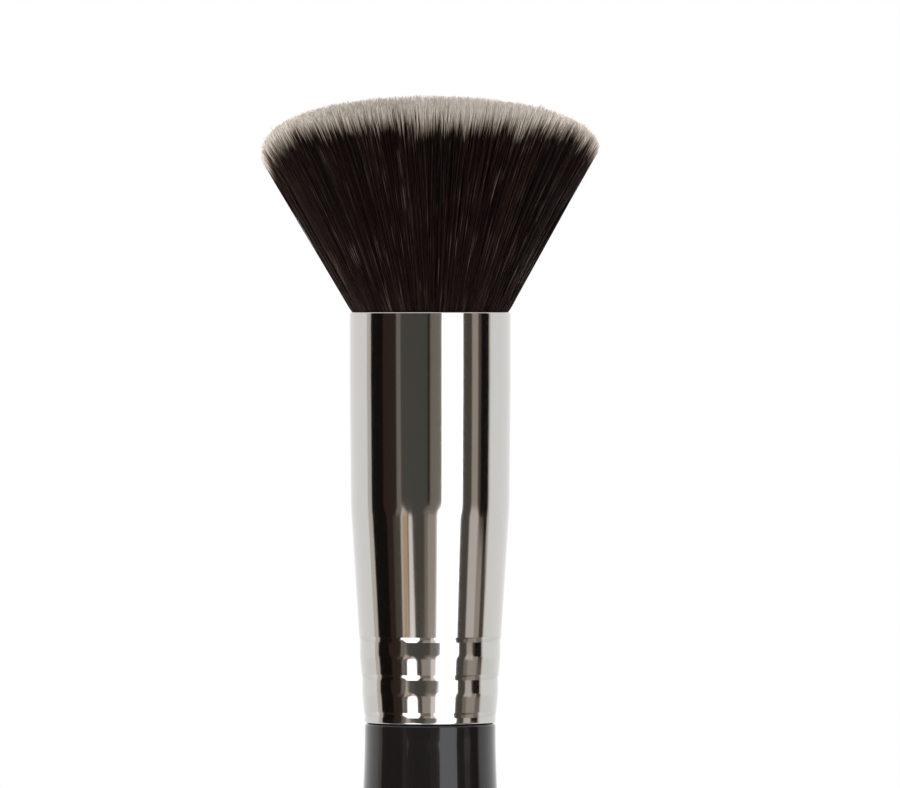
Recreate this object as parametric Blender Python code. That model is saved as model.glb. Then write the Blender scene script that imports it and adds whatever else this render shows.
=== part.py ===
"""Angled blending brush, built from its separate pieces at real size.

The brush stands on its butt at the origin, with its axis on +Z and its tall side towards -Y.
A turned wooden handle ends in a tenon. A drawn metal ferrule fits over the tenon, where it is
bonded and crimped with rolled rings. The ferrule's mouth holds a knot of filaments, which is
tied with thread, potted in epoxy, fans out above the mouth and ends in one slanted face with
a soft crown and a rounded rim.
"""

import math

import bmesh
import bpy
from mathutils import Vector
from mathutils.geometry import delaunay_2d_cdt

MM = 0.001

# Gaps between pieces
SEAT_GAP = 0.30 * MM  # between end faces that seat on each other
FILM_GAP = 0.15 * MM  # between a bonded wall and what fills it
TUFT_GAP = 0.30 * MM  # between the ferrule's bore and the outermost strands

# Handle
HANDLE_LENGTH = 108.0 * MM  # butt face to shoulder
BUTT_RADIUS = 4.8 * MM
BUTT_EDGE = 1.3 * MM
BELLY_RADIUS = 7.1 * MM
BELLY_HEIGHT = 91.0 * MM
SHOULDER_EDGE = 0.30 * MM
TENON_LENGTH = 13.5 * MM
TENON_CHAMFER = 0.8 * MM
TENON_FILM = 0.35 * MM  # thickness of the adhesive where the ferrule is narrowest
TAPER_RINGS = 14
NECK_RINGS = 4
EDGE_STEPS = 4

# Ferrule, with depths measured down from its mouth
WALL = 0.40 * MM
LIP_SHARE = 0.6  # radius of the lip's outer edge, as a share of the wall
LIP_STEPS = 3
MOUTH_RADIUS = 8.05 * MM
BARREL_DEPTH = 7.0 * MM  # where the straight barrel starts to narrow
WAIST_DEPTH = 19.8 * MM
WAIST_RADIUS = 7.93 * MM
WAIST_ROUNDING = 1.5 * MM
CONE_DEPTH = 32.4 * MM  # where the cone ends and the crimps begin
CONE_RADIUS = 7.10 * MM
CRIMP_COUNT = 3
CRIMP_PITCH = 3.5 * MM
STEP_RUN = 0.45 * MM
STEP_DEPTH = 0.10 * MM
BAND_LENGTH = 1.2 * MM
BAND_TAPER = 0.13 * MM  # how much a ring narrows from its straight band to its next step

# Knot of filaments, with heights measured up from the mouth
STRAND_COUNT = 400
STRAND_SHARE = 0.75  # corner radius of a strand, as a share of the spacing
TIP_LENGTH = 1.3 * MM  # length of a strand's pointed end
ROOT_DEPTH = 3.0 * MM  # where the filaments leave the epoxy, below the mouth
SLICE_THICKNESS = 1.0 * MM
FLARE_SHARE = 0.65  # growth of the knot's radius, as a share of its height
FACE_HEIGHT = 17.3 * MM  # height of the slanted face on the axis, without its crown
SLANT = math.radians(13.8)
CROWN_RISE = 0.7 * MM
RIM_DROP = 2.0 * MM
RIM_POWER = 8

# Epoxy plug and binding thread
PLUG_LENGTH = 9.0 * MM
THREAD_RADIUS = 0.28 * MM
THREAD_PITCH = 1.1 * MM
THREAD_TURNS = 3
TURN_POINTS = 20

TURNED_SEGMENTS = 48
GOLDEN_ANGLE = math.pi * (3.0 - math.sqrt(5.0))
INSIDE_ONLY = 1  # the triangulation's choice that keeps what lies within the outlines

FERRULE_LENGTH = CONE_DEPTH + (CRIMP_COUNT - 1) * CRIMP_PITCH + STEP_RUN + BAND_LENGTH
FERRULE_BASE = HANDLE_LENGTH + SEAT_GAP
MOUTH_HEIGHT = FERRULE_BASE + FERRULE_LENGTH
SLICE_TOP = MOUTH_HEIGHT - ROOT_DEPTH
PLUG_TOP = SLICE_TOP - SLICE_THICKNESS - SEAT_GAP


def clear_scene():
    """Removes what the startup file holds."""
    for item in list(bpy.data.objects):
        bpy.data.objects.remove(item)


def finish_material(name, colour, roughness, metallic=0.0, coat=0.0):
    """A Principled material with plain values."""
    material = bpy.data.materials.new(name)
    material.use_nodes = True
    shader = material.node_tree.nodes["Principled BSDF"]
    shader.inputs["Base Color"].default_value = (*colour, 1.0)
    shader.inputs["Roughness"].default_value = roughness
    shader.inputs["Metallic"].default_value = metallic
    shader.inputs["Coat Weight"].default_value = coat
    material.diffuse_color = (*colour, 1.0)
    return material


def add_piece(name, mesh, material, smooth_angle=math.radians(30.0)):
    """Turns a bmesh into a named object with outward faces and smooth shading."""
    bmesh.ops.recalc_face_normals(mesh, faces=mesh.faces)
    data = bpy.data.meshes.new(name)
    mesh.to_mesh(data)
    mesh.free()
    data.shade_smooth()
    data.set_sharp_from_angle(angle=smooth_angle)
    data.materials.append(material)
    bpy.context.scene.collection.objects.link(bpy.data.objects.new(name, data))


def turned(profile, closed):
    """Spins (radius, height) points round +Z.

    A closed profile makes a tube. An open one starts and ends on the axis and makes a solid.
    """
    mesh = bmesh.new()
    points = [mesh.verts.new((radius, 0.0, height)) for radius, height in profile]
    edges = [mesh.edges.new(pair) for pair in zip(points, points[1:])]
    if closed:
        edges.append(mesh.edges.new((points[-1], points[0])))
    bmesh.ops.spin(
        mesh,
        geom=points + edges,
        cent=(0.0, 0.0, 0.0),
        axis=(0.0, 0.0, 1.0),
        angle=2.0 * math.pi,
        steps=TURNED_SEGMENTS,
        use_merge=True,
    )
    bmesh.ops.remove_doubles(mesh, verts=mesh.verts, dist=FILM_GAP / TURNED_SEGMENTS)
    return mesh


def quarter_round(centre_radius, centre_height, size, start, steps):
    """(radius, height) points of a quarter circle that turns clockwise from an angle."""
    points = []
    for step in range(steps + 1):
        angle = start - 0.5 * math.pi * step / steps
        across, up = size * math.cos(angle), size * math.sin(angle)
        points.append((centre_radius + across, centre_height + up))
    return points


def eased(share):
    """A smooth rise from 0 to 1 that starts and ends level."""
    return 0.5 - 0.5 * math.cos(math.pi * share)


def lip_radius():
    """Radius of the rounded outer edge at the ferrule's mouth."""
    return LIP_SHARE * WALL


def crimp_wall():
    """(depth, radius) points of the rolled rings: a step in, a straight band and a taper."""
    points = []
    radius = CONE_RADIUS
    for ring in range(CRIMP_COUNT):
        depth = CONE_DEPTH + ring * CRIMP_PITCH
        band = radius - STEP_DEPTH
        band_top = depth + STEP_RUN
        points += [(depth, radius), (band_top, band), (band_top + BAND_LENGTH, band)]
        radius = band - BAND_TAPER
    return points


def ferrule_wall():
    """(depth, radius) points of the ferrule's outer wall, from under its lip to its end."""
    barrel_fall = (MOUTH_RADIUS - WAIST_RADIUS) / (WAIST_DEPTH - BARREL_DEPTH)
    cone_fall = (WAIST_RADIUS - CONE_RADIUS) / (CONE_DEPTH - WAIST_DEPTH)
    reach = 0.5 * WAIST_ROUNDING
    corner_cut = 0.25 * reach * (cone_fall - barrel_fall)
    return [
        (lip_radius(), MOUTH_RADIUS),
        (BARREL_DEPTH, MOUTH_RADIUS),
        (WAIST_DEPTH - reach, WAIST_RADIUS + reach * barrel_fall),
        (WAIST_DEPTH, WAIST_RADIUS - corner_cut),
        (WAIST_DEPTH + reach, WAIST_RADIUS - reach * cone_fall),
        *crimp_wall(),
    ]


def bore_radius(depth):
    """Radius of the ferrule's bore at a depth below the mouth."""
    wall = ferrule_wall()
    for (upper, first), (lower, second) in zip(wall, wall[1:]):
        if upper <= depth <= lower:
            return first + (second - first) * (depth - upper) / (lower - upper) - WALL
    nearest = wall[0] if depth < wall[0][0] else wall[-1]
    return nearest[1] - WALL


def bore_corners(top, bottom):
    """(depth, radius) points of the bore between two depths, with both ends."""
    between = [(depth, radius - WALL) for depth, radius in ferrule_wall() if top < depth < bottom]
    return [(top, bore_radius(top)), *between, (bottom, bore_radius(bottom))]


def narrowest_bore(top, bottom):
    """Smallest bore radius between two depths."""
    return min(radius for _, radius in bore_corners(top, bottom))


def tenon_radius():
    """The tenon clears the narrowest crimp by its adhesive and a gap on each side of it."""
    tenon_top = FERRULE_LENGTH + SEAT_GAP - TENON_LENGTH
    return narrowest_bore(tenon_top, FERRULE_LENGTH) - TENON_FILM - 2.0 * FILM_GAP


def build_handle():
    """Turned handle: a flat butt, a slim taper, a belly, a shoulder and a tenon."""
    butt = quarter_round(BUTT_RADIUS - BUTT_EDGE, BUTT_EDGE, BUTT_EDGE, 0.0, EDGE_STEPS)
    profile = [(0.0, 0.0), *reversed(butt)]
    for ring in range(1, TAPER_RINGS + 1):
        share = ring / TAPER_RINGS
        radius = BUTT_RADIUS + (BELLY_RADIUS - BUTT_RADIUS) * eased(share)
        profile.append((radius, BUTT_EDGE + (BELLY_HEIGHT - BUTT_EDGE) * share))
    shoulder = ferrule_wall()[-1][1]
    shoulder_height = HANDLE_LENGTH - SHOULDER_EDGE
    for ring in range(1, NECK_RINGS + 1):
        share = ring / NECK_RINGS
        radius = BELLY_RADIUS + (shoulder - BELLY_RADIUS) * eased(share)
        profile.append((radius, BELLY_HEIGHT + (shoulder_height - BELLY_HEIGHT) * share))
    tenon = tenon_radius()
    tenon_top = HANDLE_LENGTH + TENON_LENGTH
    profile += [
        (shoulder - SHOULDER_EDGE, HANDLE_LENGTH),
        (tenon, HANDLE_LENGTH),
        (tenon, tenon_top - TENON_CHAMFER),
        (tenon - TENON_CHAMFER, tenon_top),
        (0.0, tenon_top),
    ]
    lacquer = finish_material("black_lacquer", (0.012, 0.011, 0.011), 0.12, coat=0.6)
    add_piece("handle", turned(profile, closed=False), lacquer)


def build_tenon_adhesive():
    """Sleeve of adhesive that fills the space between the tenon and the ferrule."""
    top = FERRULE_LENGTH + SEAT_GAP + TENON_CHAMFER - TENON_LENGTH
    bottom = FERRULE_LENGTH - FILM_GAP
    inside = tenon_radius() + FILM_GAP
    profile = [(inside, MOUTH_HEIGHT - bottom), (inside, MOUTH_HEIGHT - top)]
    for depth, radius in bore_corners(top, bottom):
        profile.append((radius - FILM_GAP, MOUTH_HEIGHT - depth))
    resin = finish_material("clear_adhesive", (0.62, 0.55, 0.38), 0.35)
    add_piece("tenon_adhesive", turned(profile, closed=True), resin)


def build_ferrule():
    """Drawn tube with a rounded lip, a straight barrel, a cone and rolled crimp rings."""
    lip = lip_radius()
    start = 0.5 * math.pi
    outside = quarter_round(MOUTH_RADIUS - lip, MOUTH_HEIGHT - lip, lip, start, LIP_STEPS)
    corners = [(radius, MOUTH_HEIGHT - depth) for depth, radius in ferrule_wall()[1:]]
    inside = [(radius - WALL, height) for radius, height in corners]
    mouth = (MOUTH_RADIUS - WALL, MOUTH_HEIGHT)
    profile = [*outside, *corners, *reversed(inside), mouth]
    plate = finish_material("bright_nickel_plate", (0.78, 0.77, 0.75), 0.06, metallic=1.0)
    add_piece("ferrule", turned(profile, closed=True), plate)


def plug_radius():
    """The plug fills the bore, less a gap, down to where the bore is narrowest."""
    top = MOUTH_HEIGHT - PLUG_TOP
    return narrowest_bore(top, top + PLUG_LENGTH) - FILM_GAP


def build_root_plug():
    """Epoxy plug that pots the filament roots, with a groove for the binding thread."""
    radius = plug_radius()
    floor = radius - 2.0 * THREAD_RADIUS - FILM_GAP
    middle = PLUG_TOP - 0.5 * PLUG_LENGTH
    half_groove = 0.5 * THREAD_TURNS * THREAD_PITCH + THREAD_RADIUS + FILM_GAP
    profile = [
        (0.0, PLUG_TOP),
        (radius, PLUG_TOP),
        (radius, middle + half_groove),
        (floor, middle + half_groove),
        (floor, middle - half_groove),
        (radius, middle - half_groove),
        (radius, PLUG_TOP - PLUG_LENGTH),
        (0.0, PLUG_TOP - PLUG_LENGTH),
    ]
    epoxy = finish_material("amber_epoxy", (0.42, 0.27, 0.10), 0.30)
    add_piece("root_epoxy_plug", turned(profile, closed=False), epoxy)


def thread_points():
    """Centre line of the binding thread, wound level with the plug's side."""
    radius = plug_radius() - THREAD_RADIUS
    top = PLUG_TOP - 0.5 * PLUG_LENGTH + 0.5 * THREAD_TURNS * THREAD_PITCH
    points = []
    for index in range(THREAD_TURNS * TURN_POINTS + 1):
        turns = index / TURN_POINTS
        angle = 2.0 * math.pi * turns
        across = Vector((math.cos(angle), math.sin(angle), 0.0)) * radius
        points.append(across + Vector((0.0, 0.0, top - THREAD_PITCH * turns)))
    return points


def least_gap(points):
    """Smallest gap between parts of the thread that are half a turn or more apart."""
    apart = TURN_POINTS // 2
    distances = [
        (points[second] - points[first]).length
        for first in range(len(points))
        for second in range(first + apart, len(points))
    ]
    return min(distances) - 2.0 * THREAD_RADIUS


def build_binding_thread():
    """Waxed thread wound round the roots as one unbroken helix."""
    points = thread_points()
    curve = bpy.data.curves.new("binding_thread", "CURVE")
    curve.dimensions = "3D"
    curve.bevel_depth = THREAD_RADIUS
    curve.bevel_resolution = 1
    curve.use_fill_caps = True
    spline = curve.splines.new("POLY")
    spline.points.add(len(points) - 1)
    for place, point in zip(spline.points, points):
        place.co = (*point, 1.0)
    curve.materials.append(finish_material("waxed_thread", (0.75, 0.70, 0.60), 0.80))
    thread = bpy.data.objects.new("binding_thread", curve)
    bpy.context.scene.collection.objects.link(thread)
    print(f"binding thread: least gap to itself {least_gap(points) / MM:.2f} mm")


def knot_radius(height):
    """Outer radius of the knot at a height above the mouth."""
    return MOUTH_RADIUS - WALL - TUFT_GAP + FLARE_SHARE * max(height, 0.0)


def strand_radius(height):
    """Corner radius of a strand, which thickens as the knot spreads."""
    return STRAND_SHARE * knot_radius(height) / math.sqrt(STRAND_COUNT)


def inset_share():
    """Share of the knot's radius at which the outermost strands have their centres."""
    return 1.0 - 0.5 * STRAND_SHARE / math.sqrt(STRAND_COUNT)


def tip_height(share, angle):
    """Height above the mouth at which a strand ends.

    A strand is placed by its share of the way out from the axis and by its angle from +X. The
    face slants up towards the tall side, is crowned on the axis and drops at its rim. A tip's
    reach grows with its height along a straight line, so the slant has a direct solution.
    """
    facing = -math.sin(angle)
    lean = math.tan(SLANT) * facing * share * inset_share()
    level = FACE_HEIGHT + CROWN_RISE * (1.0 - share**2) - RIM_DROP * share**RIM_POWER
    return (level + lean * knot_radius(0.0)) / (1.0 - lean * FLARE_SHARE)


def strand_centre(share, angle, height):
    """Centre of a strand at a height above the mouth."""
    reach = share * inset_share() * knot_radius(height)
    return Vector((reach * math.cos(angle), reach * math.sin(angle), MOUTH_HEIGHT + height))


def strand_corners(share, angle, height):
    """Three corners of a strand's cross-section, with a flat side facing outwards."""
    centre = strand_centre(share, angle, height)
    corners = []
    for corner in range(3):
        turn = angle + (2.0 * corner + 1.0) * math.pi / 3.0
        corners.append(centre + strand_radius(height) * Vector((math.cos(turn), math.sin(turn), 0.0)))
    return corners


def join_rings(mesh, lower, upper):
    """Closes the side between two rings of points."""
    for side in range(len(lower)):
        after = (side + 1) % len(lower)
        mesh.faces.new((lower[side], lower[after], upper[after], upper[side]))


def add_strand(mesh, share, angle):
    """One tapering strand with a pointed end. Returns the points of its open base."""
    end = tip_height(share, angle)
    rings = []
    for height in (-ROOT_DEPTH, 0.0, end - TIP_LENGTH):
        rings.append([mesh.verts.new(corner) for corner in strand_corners(share, angle, height)])
    for lower, upper in zip(rings, rings[1:]):
        join_rings(mesh, lower, upper)
    tip = mesh.verts.new(strand_centre(share, angle, end))
    for side in range(3):
        mesh.faces.new((rings[-1][side], rings[-1][(side + 1) % 3], tip))
    return rings[0]


def fill_slice_top(mesh, rim, bases):
    """Fills the slice's top face round the strands' bases, which stay open."""
    rings = [rim, *bases]
    corners = [vert for ring in rings for vert in ring]
    owners = [number for number, ring in enumerate(rings) for _ in ring]
    flat = [Vector((vert.co.x, vert.co.y)) / MM for vert in corners]
    edges = [(place, (place + 1) % len(rim)) for place in range(len(rim))]
    outlines = []
    for base in range(len(bases)):
        first = len(rim) + 3 * base
        outlines.append((first, first + 1, first + 2))
    tolerance = FILM_GAP / MM / TURNED_SEGMENTS
    made = delaunay_2d_cdt(flat, edges, outlines, INSIDE_ONLY, tolerance)
    faces, originals = made[2], made[3]
    for face in faces:
        picked = [originals[place][0] for place in face]
        if picked[0] >= len(rim) and len({owners[place] for place in picked}) == 1:
            continue
        mesh.faces.new([corners[place] for place in picked])


def build_tuft():
    """The fanned knot: tapering strands, fused to a slice of their epoxy backing."""
    mesh = bmesh.new()
    radius = narrowest_bore(ROOT_DEPTH, ROOT_DEPTH + SLICE_THICKNESS) - FILM_GAP
    rings = []
    for height in (SLICE_TOP - SLICE_THICKNESS, SLICE_TOP):
        ring = []
        for step in range(TURNED_SEGMENTS):
            angle = 2.0 * math.pi * step / TURNED_SEGMENTS
            ring.append(mesh.verts.new((radius * math.cos(angle), radius * math.sin(angle), height)))
        rings.append(ring)
    foot, rim = rings
    mesh.faces.new(foot)
    join_rings(mesh, foot, rim)
    bases = []
    for index in range(STRAND_COUNT):
        share = math.sqrt((index + 0.5) / STRAND_COUNT)
        bases.append(add_strand(mesh, share, index * GOLDEN_ANGLE))
    fill_slice_top(mesh, rim, bases)
    bmesh.ops.triangulate(mesh, faces=mesh.faces)
    fibre = finish_material("dark_brown_filament", (0.022, 0.014, 0.012), 0.45)
    add_piece("bristle_tuft", mesh, fibre, smooth_angle=math.radians(20.0))


def main():
    """Builds each piece of the brush in place."""
    clear_scene()
    build_handle()
    build_tenon_adhesive()
    build_ferrule()
    build_root_plug()
    build_binding_thread()
    build_tuft()


main()
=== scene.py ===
"""Looks, studio and camera of the angled blending brush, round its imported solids.

The brush stands on its butt at the origin, with its axis on +Z and the tall side of its head
towards -Y, which is also where the photograph was taken from. Heights are measured up from the
butt, and the head's own heights up from the ferrule's mouth. Everything is in metres.
"""

import logging
import math
from collections.abc import Mapping, Sequence
from dataclasses import dataclass, field
from enum import Enum

import bmesh
import bpy
import numpy as np
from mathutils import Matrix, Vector
from mathutils.kdtree import KDTree


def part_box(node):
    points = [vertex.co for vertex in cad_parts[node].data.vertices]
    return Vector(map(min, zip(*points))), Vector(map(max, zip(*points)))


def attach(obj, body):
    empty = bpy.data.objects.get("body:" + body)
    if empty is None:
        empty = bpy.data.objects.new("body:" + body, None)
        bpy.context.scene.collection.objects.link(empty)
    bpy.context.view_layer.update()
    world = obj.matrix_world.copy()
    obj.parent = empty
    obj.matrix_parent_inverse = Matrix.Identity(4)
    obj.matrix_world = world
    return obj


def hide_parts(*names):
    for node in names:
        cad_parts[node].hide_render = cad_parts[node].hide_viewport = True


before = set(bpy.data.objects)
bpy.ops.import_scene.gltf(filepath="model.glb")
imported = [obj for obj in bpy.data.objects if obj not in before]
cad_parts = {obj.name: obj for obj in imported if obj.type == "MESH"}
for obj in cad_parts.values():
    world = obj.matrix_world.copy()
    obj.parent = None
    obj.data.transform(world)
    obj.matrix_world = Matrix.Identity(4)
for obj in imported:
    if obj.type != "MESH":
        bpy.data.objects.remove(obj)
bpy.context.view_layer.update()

MM = 0.001
MOUTH = 149.35 * MM  # height of the ferrule's mouth
GOLDEN_ANGLE = math.pi * (3.0 - math.sqrt(5.0))
WHITE_LIGHT = (1.0, 1.0, 1.0, 1.0)
BAKE_MAP = "OFBake"  # the map that a finish is baked on, where a piece has it

# Settings that several nodes share.
COLOURS = {"data_type": "RGBA"}
NUMBERS = {"data_type": "FLOAT"}
SMOOTH = {"interpolation_type": "SMOOTHSTEP"}
MULTIPLY = {"operation": "MULTIPLY"}
MULTIPLY_ADD = {"operation": "MULTIPLY_ADD"}
SUBTRACT = {"operation": "SUBTRACT"}
DIVIDE = {"operation": "DIVIDE"}
ADD = {"operation": "ADD"}

log = logging.getLogger("brush")


class Slot(Enum):
    """The record's material slots that new pieces take their finish from."""

    LACQUER = "handle_lacquer"
    PLATE = "ferrule_plate"
    FILAMENT = "filament"
    THREAD = "thread"


class Node(Enum):
    """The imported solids."""

    HANDLE = "handle"
    FERRULE = "ferrule"
    TENON_ADHESIVE = "tenon_adhesive"
    ROOT_PLUG = "root_epoxy_plug"
    THREAD = "binding_thread"
    TUFT = "bristle_tuft"


# Materials


def linear(hex_colour: str) -> tuple[float, float, float, float]:
    """Turns an sRGB colour into linear light.

    Args:
        hex_colour: six hex digits after a hash sign.

    Returns:
        Red, green, blue and an alpha of 1.
    """
    parts = [int(hex_colour[place : place + 2], 16) / 255.0 for place in (1, 3, 5)]
    red, green, blue = (
        part / 12.92 if part <= 0.04045 else ((part + 0.055) / 1.055) ** 2.4 for part in parts
    )
    return red, green, blue, 1.0


def connect(node: bpy.types.Node, values: dict[str | int, object]) -> None:
    """Gives a node's inputs their values or links.

    Args:
        node: node in a tree.
        values: for each input, by its name or number, a plain value, an output socket, or a
            node whose first output in use is taken.
    """
    for name, value in values.items():
        if isinstance(value, bpy.types.Node):
            value = next(socket for socket in value.outputs if socket.enabled)
        if isinstance(value, bpy.types.NodeSocket):
            node.id_data.links.new(value, node.inputs[name])
        else:
            node.inputs[name].default_value = value


def add_node(
    tree: bpy.types.NodeTree,
    kind: str,
    settings: dict[str, object] | None = None,
    values: dict[str | int, object] | None = None,
) -> bpy.types.Node:
    """Adds a node with its settings, and gives its inputs values or links.

    Args:
        tree: tree that gets the node.
        kind: type name of the node.
        settings: the node's own properties.
        values: what its inputs get, as connect takes it.

    Returns:
        The new node.
    """
    node = tree.nodes.new(kind)
    for name, value in (settings or {}).items():
        setattr(node, name, value)
    connect(node, values or {})
    return node


def blank_material(name: str) -> tuple[bpy.types.Material, bpy.types.NodeTree, bpy.types.Node]:
    """Makes a material that holds one Principled shader.

    Args:
        name: name of the material.

    Returns:
        The material, its node tree and the shader's node.
    """
    material = bpy.data.materials.new(name)
    material.use_nodes = True
    return material, material.node_tree, material.node_tree.nodes["Principled BSDF"]


def flecks(
    tree: bpy.types.NodeTree,
    size: float,
    detail: float,
    density: tuple[float, float, float] | None = None,
) -> bpy.types.Node:
    """Lays an irregular pattern over a piece, on the piece's own coordinates.

    Args:
        tree: tree of the material.
        size: size of a fleck.
        detail: number of finer layers in the pattern.
        density: density along each axis, where less than 1 draws the flecks out. Without it
            they are drawn out in no direction.

    Returns:
        The node that gives the pattern, from 0 to 1.
    """
    place = add_node(tree, "ShaderNodeTexCoord").outputs["Object"]
    if density is not None:
        place = add_node(tree, "ShaderNodeMapping", values={"Vector": place, "Scale": density})
    values = {"Vector": place, "Scale": 1.0 / size, "Detail": detail}
    return add_node(tree, "ShaderNodeTexNoise", values=values)


def mottled(
    shader: bpy.types.Node,
    colours: tuple[str, str],
    size: float,
    detail: float,
    density: tuple[float, float, float] | None = None,
) -> bpy.types.Node:
    """Colours a surface in two tones that flow into each other in irregular flecks.

    Args:
        shader: node of the surface's shader.
        colours: the two tones.
        size: size of a fleck.
        detail: number of finer layers in the pattern.
        density: density along each axis, where less than 1 draws the flecks out. Without it
            they are drawn out in no direction.

    Returns:
        The node of the pattern, where 0 is the first tone and 1 the second.
    """
    tree = shader.id_data
    pattern = flecks(tree, size, detail, density)
    first, second = colours
    values = {"Factor": pattern, "A": linear(first), "B": linear(second)}
    connect(shader, {"Base Color": add_node(tree, "ShaderNodeMix", COLOURS, values)})
    return pattern


@dataclass(frozen=True)
class BrightNickel:
    """Bright nickel plate on a drawn and polished tube.

    It gives the eye a warm mirror, with slight waves from the drawing and faint polishing lines.
    """

    name: str = "bright_nickel_plate"
    colours: tuple[str, str] = ("#C9C7C3", "#C7C5C1")
    roughness: float = 0.075
    wave_size: float = 1.8 * MM
    wave_height: float = 0.0022 * MM
    wave_density: tuple[float, float, float] = (1.0, 1.0, 0.35)
    line_size: float = 0.12 * MM  # real polishing lines are finer, and wouldn't show
    line_density: tuple[float, float, float] = (0.02, 0.02, 1.0)
    line_from: float = 0.3  # part of the lines' pattern that roughens the plate
    line_to: float = 0.8
    line_roughness: float = 0.03

    def material(self) -> bpy.types.Material:
        """Builds the plate's material.

        Returns:
            The material.
        """
        material, tree, shader = blank_material(self.name)
        waves = mottled(shader, self.colours, self.wave_size, 1.0, self.wave_density)
        raised = {"Height": waves, "Distance": self.wave_height, "Strength": 1.0}
        roughened = {
            "Value": flecks(tree, self.line_size, 2.0, self.line_density),
            "From Min": self.line_from,
            "From Max": self.line_to,
            "To Min": self.roughness,
            "To Max": self.roughness + self.line_roughness,
        }
        values = {
            "Metallic": 1.0,
            "Roughness": add_node(tree, "ShaderNodeMapRange", values=roughened),
            "Normal": add_node(tree, "ShaderNodeBump", values=raised),
        }
        connect(shader, values)
        return material


@dataclass(frozen=True)
class BlackLacquer:
    """Glossy black lacquer, dipped over turned hardwood.

    It gives the eye a deep black under a clear shine that is very slightly uneven.
    """

    name: str = "black_lacquer_on_wood"
    colours: tuple[str, str] = ("#0E0D0D", "#171514")
    roughness: float = 0.10
    grain_roughness: float = 0.08
    grain_size: float = 0.9 * MM
    grain_density: tuple[float, float, float] = (1.0, 1.0, 0.08)
    peel_size: float = 1.6 * MM
    peel_height: float = 0.0015 * MM

    def material(self) -> bpy.types.Material:
        """Builds the lacquer's material.

        Returns:
            The material.
        """
        material, tree, shader = blank_material(self.name)
        grain = mottled(shader, self.colours, self.grain_size, 3.0, self.grain_density)
        roughened = {
            "Value": grain,
            "To Min": self.roughness,
            "To Max": self.roughness + self.grain_roughness,
        }
        peel = flecks(tree, self.peel_size, 1.0)
        raised = {"Height": peel, "Distance": self.peel_height, "Strength": 1.0}
        bump = add_node(tree, "ShaderNodeBump", values=raised)
        values = {
            "Roughness": add_node(tree, "ShaderNodeMapRange", values=roughened),
            "Specular IOR Level": 0.15,
            "Normal": bump,
            "Coat Weight": 0.7,
            "Coat Roughness": 0.04,
            "Coat IOR": 1.42,
            "Coat Normal": bump,
        }
        connect(shader, values)
        return material


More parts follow.
